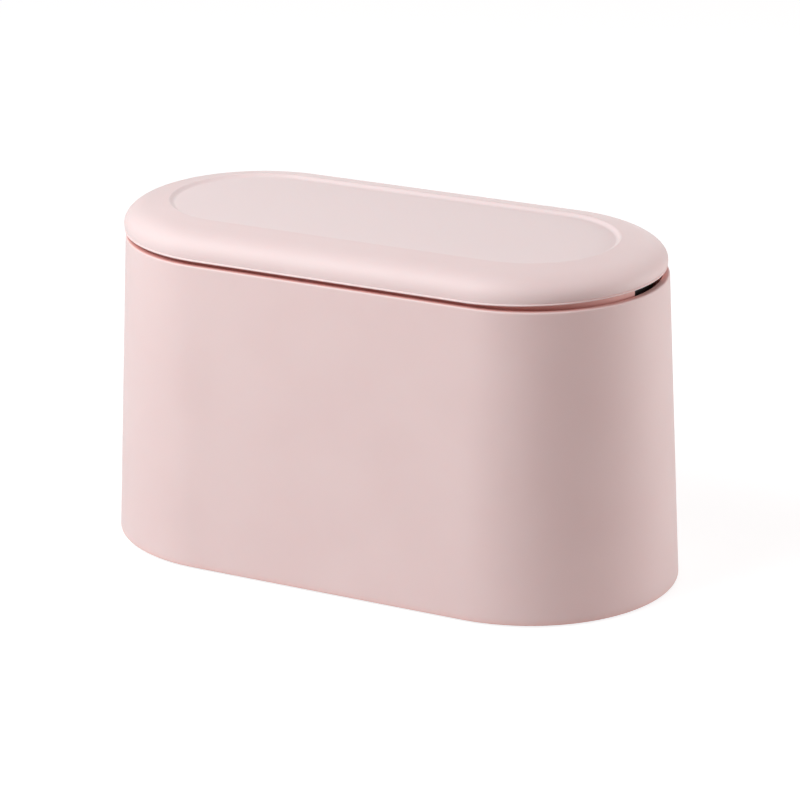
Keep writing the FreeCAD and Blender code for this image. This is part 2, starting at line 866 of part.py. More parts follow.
def latch_spring_station(half_turns):
    """Point and heading on the latch coil, counted in half turns from the housing's floor."""
    angle = math.pi * half_turns
    clear = spring_seat_gap + latch_wire / 2
    low = cavity_floor + clear
    high = plunger_bottom + spring_bore_rise - clear
    rise = (high - low) / latch_half_turns
    spot = FreeCAD.Vector(
        latch_x + latch_mean_radius * math.cos(angle),
        latch_mean_radius * math.sin(angle),
        low + rise * half_turns)
    heading = FreeCAD.Vector(
        -latch_mean_radius * math.sin(angle),
        latch_mean_radius * math.cos(angle),
        rise / math.pi)
    return spot, heading.normalize()


def make_latch_spring():
    """Compression spring between the housing's floor and the slider."""
    first_heading = along_y * latch_wire
    last_heading = along_y * latch_wire * math.cos(math.pi * latch_half_turns)
    edges = wound_path(latch_spring_station, latch_half_turns, first_heading, last_heading)
    print_least_gap("latch_spring", edges, latch_wire / 2, 2 * math.pi * latch_mean_radius)
    return tube(edges, latch_wire / 2)


def make_latch_cam_wire():
    """Bent wire: its foot turns in the housing's wall, its tip runs in the slider's slot."""
    x = cam_wire_x()
    low = cavity_floor + cam_wire_drop
    high = low + cam_wire_rise
    foot = lengthwise(latch_x + cavity_half_x + cam_wire_bite, low)
    tip = lengthwise(x - cam_bend - cam_wire_tip, high)
    turn_in = cam_bend * (1 - math.sqrt(0.5))
    edges = [
        Part.LineSegment(foot, lengthwise(x + cam_bend, low)).toShape(),
        Part.Arc(
            lengthwise(x + cam_bend, low),
            lengthwise(x + turn_in, low + turn_in),
            lengthwise(x, low + cam_bend)).toShape(),
        Part.LineSegment(lengthwise(x, low + cam_bend), lengthwise(x, high - cam_bend)).toShape(),
        Part.Arc(
            lengthwise(x, high - cam_bend),
            lengthwise(x - turn_in, high - turn_in),
            lengthwise(x - cam_bend, high)).toShape(),
        Part.LineSegment(lengthwise(x - cam_bend, high), tip).toShape(),
    ]
    return tube(edges, cam_wire / 2)


# Output: one file for each piece

def save(name, *solids):
    """Writes a piece, or a group of identical pieces, and prints its volume."""
    shape = solids[0] if len(solids) == 1 else Part.makeCompound(list(solids))
    if not shape.isValid():
        raise ValueError(name + " is not a valid solid")
    shape.exportStep("parts/" + name + ".step")
    print("%-18s %2d solid(s) %10.1f mm3" % (name, len(solids), shape.Volume))


os.makedirs("parts", exist_ok=True)
save("outer_shell", make_outer_shell())
save("base_plate", make_base_plate())
save("base_screws", *make_base_screws())
save("rubber_feet", *make_rubber_feet())
save("inner_bucket", make_inner_bucket())
save("collar", make_collar())
save("hinge_pin", make_hinge_pin())
save("hinge_spring", make_hinge_spring())
save("lid_cap", make_lid_cap())
save("lid_liner", make_lid_liner())
save("liner_screws", *make_liner_screws())
save("lid_striker", make_lid_striker())
save("latch_housing", make_latch_housing())
save("latch_screws", *make_latch_screws())
save("latch_plunger", make_latch_plunger())
save("latch_claw_left", make_latch_claw(1))
save("latch_claw_right", make_latch_claw(-1))
save("latch_claw_pins", *make_latch_claw_pins())
save("latch_spring", make_latch_spring())
save("latch_cam_wire", make_latch_cam_wire())
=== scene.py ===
# %% [markdown]
# # A press-to-open countertop bin, dressed in Blender
#
# The bin comes in as a finished set of solids, each at its place and on its moving body. This lesson gives
# it the skin of the real thing: satin pink polypropylene with soft moulded edges, wire springs, and a
# studio that shows it the way a shop photograph does. Lengths are metres, as everywhere in Blender, and
# small sizes are written in millimetres times `mm`.

# %% Load the frame
import json
import math

import bmesh
import bpy
import numpy as np
from mathutils import Matrix, Vector


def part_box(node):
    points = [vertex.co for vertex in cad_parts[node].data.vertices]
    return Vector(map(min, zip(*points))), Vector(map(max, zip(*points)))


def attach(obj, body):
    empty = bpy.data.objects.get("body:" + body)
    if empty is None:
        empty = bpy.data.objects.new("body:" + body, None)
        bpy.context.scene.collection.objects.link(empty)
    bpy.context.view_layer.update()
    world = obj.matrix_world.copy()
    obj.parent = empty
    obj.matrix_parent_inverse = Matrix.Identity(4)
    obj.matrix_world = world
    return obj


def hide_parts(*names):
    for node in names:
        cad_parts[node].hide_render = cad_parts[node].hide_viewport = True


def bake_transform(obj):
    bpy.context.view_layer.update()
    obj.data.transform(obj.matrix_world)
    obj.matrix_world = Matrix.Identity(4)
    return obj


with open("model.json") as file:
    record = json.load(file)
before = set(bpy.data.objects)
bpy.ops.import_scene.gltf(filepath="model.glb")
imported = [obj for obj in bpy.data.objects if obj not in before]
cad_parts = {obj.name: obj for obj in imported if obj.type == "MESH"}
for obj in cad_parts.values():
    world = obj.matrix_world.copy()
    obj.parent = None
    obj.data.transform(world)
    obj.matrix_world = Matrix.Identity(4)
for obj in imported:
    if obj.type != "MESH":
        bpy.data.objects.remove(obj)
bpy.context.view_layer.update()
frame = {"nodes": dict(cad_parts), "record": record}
mm = 0.001

# %% [markdown]
# ## The camera
#
# The photograph was taken with a long lens from a little above the bin and to the right of its long side,
# so the sides hardly converge. The camera is placed by two angles round a point inside the bin. A rotation
# matrix made of the camera's own right, up and backward directions is clearer here than three turns one
# after another, and the small roll and shift put the outline where the photograph has it.

# %% Camera
view_azimuth = math.radians(27.52)
view_elevation = math.radians(19.35)
view_roll = math.radians(-0.362)
view_distance = 1.3664
view_target = Vector((0.0, 0.0, 60.8 * mm))
sensor_width = 36.0
lens_length = 159.87
frame_shift = (0.0078, -0.0030)

backward = Vector((
    math.sin(view_azimuth) * math.cos(view_elevation),
    -math.cos(view_azimuth) * math.cos(view_elevation),
    math.sin(view_elevation)))
level_right = Vector((math.cos(view_azimuth), math.sin(view_azimuth), 0.0))
level_up = backward.cross(level_right)
camera_right = level_right * math.cos(view_roll) + level_up * math.sin(view_roll)
camera_up = level_up * math.cos(view_roll) - level_right * math.sin(view_roll)
camera_place = Matrix((camera_right, camera_up, backward)).transposed().to_4x4()
camera_place.translation = view_target + backward * view_distance

camera_data = bpy.data.cameras.new("photo_camera")
camera_data.sensor_width = sensor_width
camera_data.lens = lens_length
camera_data.shift_x, camera_data.shift_y = frame_shift
camera = bpy.data.objects.new("photo_camera", camera_data)
camera.matrix_world = camera_place
bpy.context.scene.collection.objects.link(camera)
bpy.context.scene.camera = camera
bpy.context.scene.view_settings.view_transform = "Standard"
print("camera stands at", [round(v, 3) for v in camera.location])

# %% [markdown]
# ## Colours and nodes
#
# Colours are noted as the hex values that a paint program shows, which are sRGB. Shaders calculate in
# linear light, so one function converts them. A second small function adds a node, sets its values and
# links its inputs, which keeps every material below short enough to read as a recipe.

# %% Colour and node helpers
def linear(hex_colour):
    """Linear RGBA of an sRGB hex colour.

    A channel c becomes c / 12.92 when it is dark, and ((c + 0.055) / 1.055)^2.4 otherwise."""
    channels = np.array([int(hex_colour[i:i + 2], 16) / 255 for i in (1, 3, 5)])
    low = channels / 12.92
    high = ((channels + 0.055) / 1.055) ** 2.4
    return tuple(np.where(channels <= 0.04045, low, high)) + (1.0,)


def add_node(material, kind, settings=None, **inputs):
    """Adds a node with its settings. A socket given for an input is linked, any other value is set."""
    node = material.node_tree.nodes.new(kind)
    for option, value in (settings or {}).items():
        setattr(node, option, value)
    for label, value in inputs.items():
        socket = node.inputs[label.replace("_", " ")]
        if isinstance(value, bpy.types.NodeSocket):
            material.node_tree.links.new(value, socket)
        else:
            socket.default_value = value
    return node


def new_material(name):
    """A material with an empty node tree."""
    material = bpy.data.materials.new(name)
    material.use_nodes = True
    material.node_tree.nodes.clear()
    return material


def per_size(size):
    """Texture scale at which one cell of a pattern is this many metres wide."""
    return 1.0 / size


print("mid grey in linear light: %.3f" % linear("#808080")[0])

# %% [markdown]
# ## Pink polypropylene, injection moulded
#
# Polypropylene is a soft, slightly waxy plastic. The mould is spark-eroded, which leaves a very fine grain,
# so the surface is satin: light spreads into broad soft highlights and nothing mirrors. A little light
# enters the plastic and comes out again nearby, redder than it went in, and that warms thin edges and the
# bottom of narrow gaps. Where walls stand close together, a painted shade multiplies the colour towards a
# warm dark that follows the ambient occlusion, so the gap under the lid is a warm dark instead of a grey
# one.
# The grain is too fine to see at this distance, so it is drawn about four times coarser than it is. The lid
# has a painted sheen: it is paler and greyer than the body, most of all in the dish on its top, the way
# white surroundings would gloss an upward face. How much sheen each point gets is a value that the lid's
# mesh carries.

# %% Pink polypropylene
def moulded_polypropylene(name, light_hex, deep_hex, painted_sheen_hex, roughness):
    """Satin moulded plastic: cloudy near colours, painted sheen, fine grain, soft scattering, painted
    crevice shade.
    """
    cloud_size = 30 * mm
    grain_size = 0.45 * mm
    grain_height = 0.02 * mm
    grain_gloss = 0.05
    painted_shade_reach = 6 * mm
    scatter_size = 2.5 * mm
    material = new_material(name)
    place = add_node(material, "ShaderNodeTexCoord")
    cloud = add_node(
        material, "ShaderNodeTexNoise",
        Vector=place.outputs["Object"], Scale=per_size(cloud_size), Detail=2.0, Roughness=0.4)
    grain = add_node(
        material, "ShaderNodeTexNoise",
        Vector=place.outputs["Object"], Scale=per_size(grain_size), Detail=1.0, Roughness=0.5)
    colour = add_node(material, "ShaderNodeValToRGB", Fac=cloud.outputs["Fac"])
    colour.color_ramp.elements[0].position = 0.35
    colour.color_ramp.elements[0].color = linear(deep_hex)
    colour.color_ramp.elements[1].position = 0.65
    colour.color_ramp.elements[1].color = linear(light_hex)
    # Painted sheen: a value on the mesh pales and greys the colour, as a white gloss on the lid's top would.
    painted_sheen = add_node(material, "ShaderNodeAttribute", {"attribute_name": "painted_sheen"})
    with_painted_sheen = add_node(
        material, "ShaderNodeMixRGB",
        Fac=painted_sheen.outputs["Fac"], Color1=colour.outputs["Color"], Color2=linear(painted_sheen_hex))
    # Painted shade: ambient occlusion darkens and reddens the colour where walls stand close together.
    crevice = add_node(material, "ShaderNodeAmbientOcclusion", {"samples": 12}, Distance=painted_shade_reach)
    painted_crevice_shade = add_node(material, "ShaderNodeValToRGB", Fac=crevice.outputs["AO"])
    painted_crevice_shade.color_ramp.elements[0].position = 0.1
    painted_crevice_shade.color_ramp.elements[0].color = (0.9, 0.42, 0.38, 1.0)
    painted_crevice_shade.color_ramp.elements[1].position = 0.8
    painted_crevice_shade.color_ramp.elements[1].color = (1.0, 1.0, 1.0, 1.0)
    middle = painted_crevice_shade.color_ramp.elements.new(0.4)
    middle.color = (1.0, 0.72, 0.66, 1.0)
    with_painted_shade = add_node(
        material, "ShaderNodeMixRGB", {"blend_type": "MULTIPLY"},
        Fac=1.0, Color1=with_painted_sheen.outputs["Color"], Color2=painted_crevice_shade.outputs["Color"])
    gloss = add_node(
        material, "ShaderNodeMapRange",
        Value=grain.outputs["Fac"], To_Min=roughness - grain_gloss, To_Max=roughness + grain_gloss)
    bump = add_node(
        material, "ShaderNodeBump",
        Height=grain.outputs["Fac"], Strength=0.12, Distance=grain_height)
    shader = add_node(
        material, "ShaderNodeBsdfPrincipled",
        Base_Color=with_painted_shade.outputs["Color"], Roughness=gloss.outputs["Result"],
        Normal=bump.outputs["Normal"], IOR=1.49, Sheen_Weight=0.3, Sheen_Roughness=0.45,
        Subsurface_Weight=0.12, Subsurface_Radius=(1.0, 0.35, 0.28), Subsurface_Scale=scatter_size)
    add_node(material, "ShaderNodeOutputMaterial", Surface=shader.outputs[0])
    return material


# The third colour is the paler, greyer pink of the sheen painted on the lid.
pink_plastic = moulded_polypropylene(
    "moulded_pink_polypropylene",
    light_hex="#EAD1CF", deep_hex="#E8CECC", painted_sheen_hex="#ECD8D7", roughness=0.58)
print("made", pink_plastic.name)

# %% [markdown]
# ## Black acetal, steel and rubber
#
# The latch is moulded in acetal, a hard slippery plastic with a dull sheen. Springs are drawn steel wire, a
# little darker and finer in grain than the zinc-plated screws and pins, whose thin bluish coat has small
# crystals. The feet are soft grey rubber with a chalky face that hardly shines at all.

# %% Black acetal
def moulded_acetal(name, dark_hex, light_hex, roughness):
    """Smooth hard plastic: an even dark colour with a faint cloud in colour and gloss."""
    cloud_size = 3 * mm
    cloud_gloss = 0.06
    material = new_material(name)
    place = add_node(material, "ShaderNodeTexCoord")
    cloud = add_node(
        material, "ShaderNodeTexNoise",
        Vector=place.outputs["Object"], Scale=per_size(cloud_size), Detail=3.0)
    colour = add_node(material, "ShaderNodeValToRGB", Fac=cloud.outputs["Fac"])
    colour.color_ramp.elements[0].color = linear(dark_hex)
    colour.color_ramp.elements[1].color = linear(light_hex)
    gloss = add_node(
        material, "ShaderNodeMapRange",
        Value=cloud.outputs["Fac"], To_Min=roughness - cloud_gloss, To_Max=roughness + cloud_gloss)
    shader = add_node(
        material, "ShaderNodeBsdfPrincipled",
        Base_Color=colour.outputs["Color"], Roughness=gloss.outputs["Result"], IOR=1.48)
    add_node(material, "ShaderNodeOutputMaterial", Surface=shader.outputs[0])
    return material


black_plastic = moulded_acetal("moulded_black_acetal", "#0F0F10", "#222222", roughness=0.4)
print("made", black_plastic.name)


# %% Steel
def steel(name, dark_hex, light_hex, grain_size, roughness):
    """Bare or plated steel: fine grain between two greys, with the gloss following the grain."""
    grain_gloss = 0.08
    material = new_material(name)
    place = add_node(material, "ShaderNodeTexCoord")
    grain = add_node(
        material, "ShaderNodeTexNoise",
        Vector=place.outputs["Object"], Scale=per_size(grain_size), Detail=2.0)
    colour = add_node(material, "ShaderNodeValToRGB", Fac=grain.outputs["Fac"])
    colour.color_ramp.elements[0].color = linear(dark_hex)
    colour.color_ramp.elements[1].color = linear(light_hex)
    gloss = add_node(
        material, "ShaderNodeMapRange",
        Value=grain.outputs["Fac"], To_Min=roughness - grain_gloss, To_Max=roughness + grain_gloss)
    shader = add_node(
        material, "ShaderNodeBsdfPrincipled",
        Base_Color=colour.outputs["Color"], Roughness=gloss.outputs["Result"], Metallic=1.0)
    add_node(material, "ShaderNodeOutputMaterial", Surface=shader.outputs[0])
    return material


spring_wire = steel("drawn_spring_steel", "#7C7C7E", "#97989B", grain_size=0.3 * mm, roughness=0.32)
zinc_plate = steel("zinc_plated_steel", "#B4B7BA", "#CBCED2", grain_size=0.5 * mm, roughness=0.3)
print("made", spring_wire.name, zinc_plate.name)


# %% Rubber
def moulded_rubber(name, dark_hex, light_hex):
    """Matt rubber: chalky mottling in the colour and a fine bump."""
    grain_size = 0.6 * mm
    grain_height = 0.05 * mm
    material = new_material(name)
    place = add_node(material, "ShaderNodeTexCoord")
    grain = add_node(
        material, "ShaderNodeTexNoise",
        Vector=place.outputs["Object"], Scale=per_size(grain_size), Detail=3.0)
    colour = add_node(material, "ShaderNodeValToRGB", Fac=grain.outputs["Fac"])
    colour.color_ramp.elements[0].color = linear(dark_hex)
    colour.color_ramp.elements[1].color = linear(light_hex)
    bump = add_node(
        material, "ShaderNodeBump",
        Height=grain.outputs["Fac"], Strength=0.3, Distance=grain_height)
    shader = add_node(
        material, "ShaderNodeBsdfPrincipled",
        Base_Color=colour.outputs["Color"], Normal=bump.outputs["Normal"], Roughness=0.85, IOR=1.52)
    add_node(material, "ShaderNodeOutputMaterial", Surface=shader.outputs[0])
    return material


grey_rubber = moulded_rubber("moulded_grey_rubber", "#4C4A4A", "#5C5A59")
finishes = {
    "pink_polypropylene": pink_plastic,
    "black_acetal": black_plastic,
    "spring_steel": spring_wire,
    "zinc_plated_steel": zinc_plate,
    "grey_rubber": grey_rubber,
}
print("made", grey_rubber.name)

# %% [markdown]
# ## Every solid gets its finish
#
# The record says which material slot each solid uses, so one loop dresses them all. The pieces that show
# most are rebuilt further down with smoother surfaces, and then hide the solid that they stand for.

# %% Dress the solids
for part in frame["record"]["subparts"]:
    solid = frame["nodes"][part["node"]].data
    solid.materials.clear()
    solid.materials.append(finishes[part["material_slot"]])

# %% [markdown]
# ## A profile carried round the plan
#
# Seen from above, the body, lid and bucket are all the same figure: two half circles joined by straight
# sides. Each of them is one profile, a line of radius and height, carried round that figure. So a few
# helpers make nearly everything: one rounds the corners of a profile, one gives the stops round the plan,
# one carries the profile along.

# %% Stops round the plan
shell_low, shell_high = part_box("outer_shell")
base_radius = shell_high.y
half_straight = shell_high.x - base_radius
notch_edge = 1e-6


def plan_stops(notch=0.0, arc_steps=64, side_steps=24):
    """Stops round the plan, as centre x, normal x and normal y.

    On a half circle about an end the centre stays and the normal turns. On a straight run between the ends
    the normal stays and the centre moves. A notch of that half angle at the hinge end gets two stops at each
    of its edges, one outside and one inside."""
    turn = np.linspace(-math.pi / 2, math.pi / 2, arc_steps, endpoint=False)
    cut = np.array([-notch - notch_edge, -notch + notch_edge, notch - notch_edge, notch + notch_edge])
    hinge_turn = np.sort(np.concatenate([turn, cut[np.abs(cut) > 2 * notch_edge]]))
    run = np.linspace(half_straight, -half_straight, side_steps, endpoint=False)
    latch_end = np.stack([np.full(turn.shape, half_straight), np.cos(turn), np.sin(turn)])
    hinge_end = np.stack([
        np.full(hinge_turn.shape, -half_straight), -np.cos(hinge_turn), -np.sin(hinge_turn)])
    side = np.stack([run, np.zeros(side_steps), np.ones(side_steps)])
    return np.concatenate([latch_end, side, hinge_end, -side], axis=1)


print("plan: end radius %.1f mm, straight %.1f mm" % (base_radius / mm, 2 * half_straight / mm))


# %% Profiles with rounded corners
same_point = 1e-8


def rounded_profile(corners, closed=True, arc_points=7, support=0.2 * mm):
    """Line of (radius, height) with rounded corners, from rows of radius, height and rounding.

    A rounding r turns by an angle t. The arc starts r tan(t / 2) before the corner and ends as far after it.
    Its points are the two end spokes weighted by sin((1 - s) t) and sin(s t). A support point stands on each
    side of the arc, so that the flat next to it shades flat."""
    corners = np.array(corners, float)
    tip, rounding = corners[:, :2], corners[:, 2:]
    to_tip = tip - np.roll(tip, 1, axis=0)
    from_tip = np.roll(tip, -1, axis=0) - tip
    arriving = to_tip / np.linalg.norm(to_tip, axis=1, keepdims=True)
    leaving = from_tip / np.linalg.norm(from_tip, axis=1, keepdims=True)
    turn = np.arccos(np.clip((arriving * leaving).sum(axis=1, keepdims=True), -1, 1))
    setback = rounding * np.tan(turn / 2)
    first = tip - arriving * setback
    last = tip + leaving * setback
    middle = leaving - arriving
    centre = tip + middle / np.linalg.norm(middle, axis=1, keepdims=True) * rounding / np.cos(turn / 2)
    share = np.linspace(0, 1, arc_points)
    weight_first = np.sin((1 - share) * turn) / np.sin(turn)
    weight_last = np.sin(share * turn) / np.sin(turn)
    first_spoke = (first - centre)[:, None]
    last_spoke = (last - centre)[:, None]
    spokes = weight_first[..., None] * first_spoke + weight_last[..., None] * last_spoke
    before = (first - arriving * support)[:, None]
    after = (last + leaving * support)[:, None]
    line = np.concatenate([before, centre[:, None] + spokes, after], axis=1).reshape(-1, 2)
    if not closed:
        line = line[1:-1]
    return distinct(line)


def distinct(line):
    """The line without points that repeat the one before them."""
    step = np.linalg.norm(np.diff(line, axis=0), axis=1)
    return line[np.concatenate([[True], step > same_point])]


def refined(line, longest, closed=True):
    """The same line with points added so that no stretch is longer than a given length."""
    path = np.concatenate([line, line[:1]]) if closed else line
    length = np.linalg.norm(np.diff(path, axis=0), axis=1)
    count = np.maximum(1, np.ceil(length / longest)).astype(int)
    start = np.repeat(np.arange(len(count)), count)
    position = np.arange(count.sum()) - np.repeat(np.cumsum(count) - count, count)
    share = position / np.repeat(count, count)
    points = path[start] * (1 - share)[:, None] + path[start + 1] * share[:, None]
    return points if closed else np.concatenate([points, path[-1:]])


def bezier(start, handle_start, handle_end, end, steps):
    """Points of a cubic curve: the four corners weighted by (1-t)^3, 3t(1-t)^2, 3t^2(1-t) and t^3."""
    t = np.linspace(0, 1, steps)[:, None]
    weights = ((1 - t) ** 3, 3 * t * (1 - t) ** 2, 3 * t ** 2 * (1 - t), t ** 3)
    corners = (start, handle_start, handle_end, end)
    return sum(weight * np.array(corner) for weight, corner in zip(weights, corners))


bent_line = rounded_profile([(0, 0, 0), (9 * mm, 0, 2 * mm), (9 * mm, 9 * mm, 0)], closed=False)
print("a line with one rounded corner has", len(bent_line), "points")

# %% From grid to mesh
merge_distance = 3e-7
shortest_edge = 1e-7


def grid_faces(rows, columns, wrap_columns):
    """Corner numbers of each cell of a grid whose rows close in a ring, and its columns too if asked."""
    number = np.arange(rows * columns).reshape(rows, columns)
    number = np.concatenate([number, number[:1]])
    if wrap_columns:
        number = np.concatenate([number, number[:, :1]], axis=1)
    cells = [number[:-1, :-1], number[1:, :-1], number[1:, 1:], number[:-1, 1:]]
    return np.stack(cells, axis=-1).reshape(-1, 4)


def tidy_mesh(mesh, sharp_angle):
    """Merges doubles, turns faces outwards, shades smooth between sharp edges and counts the open edges."""
    work = bmesh.new()
    work.from_mesh(mesh)
    bmesh.ops.remove_doubles(work, verts=work.verts, dist=merge_distance)
    bmesh.ops.dissolve_degenerate(work, edges=work.edges, dist=shortest_edge)
    bmesh.ops.recalc_face_normals(work, faces=work.faces)
    open_edges = sum(not edge.is_manifold for edge in work.edges)
    work.to_mesh(mesh)
    work.free()
    mesh.shade_smooth()
    mesh.set_sharp_from_angle(angle=math.radians(sharp_angle))
    return open_edges


def add_piece(name, mesh, slot, replaced, sharp_angle=35):
    """Puts a mesh into the scene as a piece with its finish, standing for the solids that it replaces."""
    open_edges = tidy_mesh(mesh, sharp_angle)
    mesh.materials.clear()
    mesh.materials.append(finishes[slot])
    piece = bpy.data.objects.new(name, mesh)
    bpy.context.scene.collection.objects.link(piece)
    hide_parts(*replaced)
    print("%-18s %6d faces, %d open edges" % (name, len(mesh.polygons), open_edges))
    return piece


def grid_mesh(name, *parts):
    """One mesh from parts, each a grid or several equal grids, and whether its columns close in a ring."""
    points = []
    cells = []
    used = 0
    for grids, wrap_columns in parts:
        rows, columns = grids.shape[-3:-1]
        count = grids.size // (3 * rows * columns)
        shift = used + np.arange(count)[:, None, None] * rows * columns
        points.append(grids.reshape(-1, 3))
        cells.append((grid_faces(rows, columns, wrap_columns) + shift).reshape(-1, 4))
        used += count * rows * columns
    mesh = bpy.data.meshes.new(name)
    mesh.from_pydata(np.concatenate(points).tolist(), [], np.concatenate(cells).tolist())
    return mesh


print("a grid of 3 rows and 4 columns has", len(grid_faces(3, 4, False)), "cells")


# %% Grids of points
def carried(radius, height, stops):
    """Grid of points: the stop's centre plus its normal times the radius, at the height."""
    centre, normal_x, normal_y = stops[:, :, None]
    x = centre + normal_x * radius
    y = normal_y * radius
    return np.stack([x, y, np.broadcast_to(height, x.shape)], axis=-1)


def turned(profile, places, angle_steps=48):
    """Grids of a profile turned round upright lines: place + radius * (cos a, sin a), at the height."""
    angle = np.linspace(0, 2 * math.pi, angle_steps, endpoint=False)[:, None]
    radius = profile[:, 0]
    height = np.broadcast_to(profile[:, 1], (angle_steps, len(profile)))
    ring = np.stack([radius * np.cos(angle), radius * np.sin(angle), height], axis=-1)
    return np.array(places)[:, None, None] + ring


def prism(outline, low, high):
    """Grid of an upright block with a convex outline: middle, edge, edge, middle, from low to high."""
    spread = np.array([0.0, 1.0, 1.0, 0.0])[:, None]
    middle = outline.mean(axis=0)
    flat = middle + (outline[:, None] - middle) * spread
    height = np.broadcast_to(np.array([low, low, high, high])[:, None], (len(outline), 4, 1))
    return np.concatenate([flat, height], axis=-1)


def four_corners(x, y):
    """A place repeated in the four quarters of the plan."""
    return [(sign_x * x, sign_y * y, 0.0) for sign_x in (1, -1) for sign_y in (1, -1)]


print("stops round the plan:", plan_stops().shape[1])

# %% [markdown]
# ## The outer shell
#
# The body is one moulding whose wall leans in towards the top, so that it slips out of its mould downwards.
# At the top the wall thickens to a rim with a small round that catches the light as a fine bright line, and
# inside the rim runs the ledge that carries the bucket. A notch at the hinge end gives the hinge barrel
# room: there the height of the profile is held down to the notch's floor, which is one `clip` in the
# formula of the surface.

# %% Profile of the outer shell
wall_lean = 5.5 * mm
shell_wall = 2.0 * mm
rim_width = 2.8 * mm
rim_round = 0.7 * mm
seat_depth = 8.1 * mm
seat_reach = 3.0 * mm
seat_thickness = 2.0 * mm
seat_gusset = 4.0 * mm
foot_round = 0.4 * mm
edge_round = 0.2 * mm
row_length = 6 * mm

rim_z = shell_high.z
shell_foot_z = shell_low.z
rim_radius = base_radius - wall_lean
pocket_radius = rim_radius - rim_width
seat_z = rim_z - seat_depth
seat_radius = pocket_radius - seat_reach
gusset_z = seat_z - seat_thickness - seat_gusset
gusset_share = (gusset_z - shell_foot_z) / (rim_z - shell_foot_z)

shell_profile = refined(rounded_profile([
    (base_radius, shell_foot_z, foot_round),
    (rim_radius, rim_z, rim_round),
    (pocket_radius, rim_z, rim_round / 2),
    (pocket_radius, seat_z, edge_round),
    (seat_radius, seat_z, edge_round),
    (seat_radius, seat_z - seat_thickness, edge_round),
    (base_radius - wall_lean * gusset_share - shell_wall, gusset_z, shell_wall),
    (base_radius - shell_wall, shell_foot_z, edge_round),
]), row_length)
print("rim %.1f mm high, %d points in the profile" % (rim_z / mm, len(shell_profile)))


# %% Notch for the hinge
def notched(profile, stops, notch, lowest, highest, cut_radius):
    """Carried grid with a notch, inside which heights are held between two levels.

    A point that is held there gets its cut radius."""
    radius, height = profile[:, 0], profile[:, 1]
    inside = (stops[1] < 0) & (np.abs(stops[2]) < math.sin(notch))
    cut = inside[:, None] & ((height < lowest) | (height > highest))
    heights = np.where(cut, np.clip(height, lowest, highest), height)
    radii = np.where(cut, cut_radius, radius)
    return carried(radii, heights, stops)


hinge_low, hinge_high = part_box("hinge_pin")
hinge_line = (hinge_low + hinge_high) / 2
hinge_half = hinge_high.y
knuckle_radius = 3.2 * mm
hinge_side_gap = 1.1 * mm
rim_notch_z = hinge_line.z - knuckle_radius - hinge_side_gap
rim_notch = math.asin((hinge_half + hinge_side_gap) / (pocket_radius + rim_width / 2))
shell_stops = plan_stops(rim_notch)
shell_grid = notched(
    shell_profile, shell_stops, rim_notch,
    lowest=-math.inf, highest=rim_notch_z, cut_radius=shell_profile[:, 0])
print("notch in the rim: %.1f mm deep" % ((rim_z - rim_notch_z) / mm))

# %% Screw bosses and the shell's mesh
boss_radius = 3.45 * mm
pilot_radius = 1.45 * mm
boss_height = 12.0 * mm
boss_floor = 2.0 * mm
boss_y = 51.15 * mm
web_half = 1.0 * mm
base_thickness = 2.4 * mm
base_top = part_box("base_plate")[0].z + base_thickness
boss_top = base_top + boss_height


def boss_profile(low, high, pilot_top):
    """Line of a screw boss: the pilot hole's end, down its wall, out, up the outside, in to the middle."""
    return np.array([
        (0.0, pilot_top), (pilot_radius, pilot_top), (pilot_radius, low),
        (boss_radius, low), (boss_radius, high), (0.0, high)])


boss_places = four_corners(half_straight, boss_y)
boss_grids = turned(boss_profile(base_top, boss_top, boss_top - boss_floor), boss_places)
web_reach = base_radius - wall_lean * (boss_top - shell_foot_z) / (rim_z - shell_foot_z) - shell_wall / 4
web_outline = np.array([
    (-web_half, boss_y), (web_half, boss_y), (web_half, web_reach), (-web_half, web_reach)])
web = prism(web_outline, base_top, boss_top)
web_grids = np.stack([
    web * (1, side, 1) + (x, 0, 0) for x in (half_straight, -half_straight) for side in (1, -1)])
shell_skin = add_piece(
    "shell_skin", grid_mesh("shell_skin", (shell_grid, True), (boss_grids, False), (web_grids, False)),
    "pink_polypropylene", ["outer_shell"])
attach(shell_skin, "bin")

# %% [markdown]
# ## The lid
#
# The lid is a pillow: a fine bead at its lower edge, a side that swells out at the ends and stands
# straighter along the long sides, a roll, a crest, and a shallow dish that dips in from the crest. The roll
# and the dip are cubic curves, because on the real moulding the curvature changes steadily and a string of
# arcs would show its joints in the highlights. The bead catches the light as a thin bright line. The lid
# sits a little back over the hinge, and its lip isn't quite level: it rises towards the latch and sags
# along the sides, as thin mouldings do when they cool.

# %% Sizes of the lid
lid_low, lid_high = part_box("lid_cap")
lid_set_in = 0.5 * mm
lip_height = 0.75 * mm
crown_width = 15.5 * mm
ridge_width = 1.4 * mm
recess_depth = 1.3 * mm
recess_slope = 2.6 * mm
cap_wall = 2.0 * mm
cap_skirt = 1.9 * mm

lid_radius = rim_radius - lid_set_in
lip_z = lid_low.z
crest_z = lid_high.z
side_z = lip_z + lip_height
crest_radius = lid_radius - crown_width
recess_radius = crest_radius - ridge_width
recess_inner = recess_radius - recess_slope
floor_z = crest_z - recess_depth
cap_inner = lid_radius - cap_wall
print("lid: end radius %.1f mm, dish %.1f mm across" % (lid_radius / mm, 2 * recess_radius / mm))

# %% Curves of the lid
crown_bulge = 1.26 * mm
crown_rise_handle = 0.154
crown_side_handle = 1.042
recess_ridge_handle = 0.3
recess_floor_handle = 0.5
curve_steps = 22


def crown_curve(side, low, crest, high):
    """Curve that swells out from the lip, rolls over and arrives level at the crest."""
    return bezier(
        (side, low),
        (side + crown_bulge, low + crown_rise_handle * (high - low)),
        (crest + crown_side_handle * (side - crest), high),
        (crest, high), curve_steps)


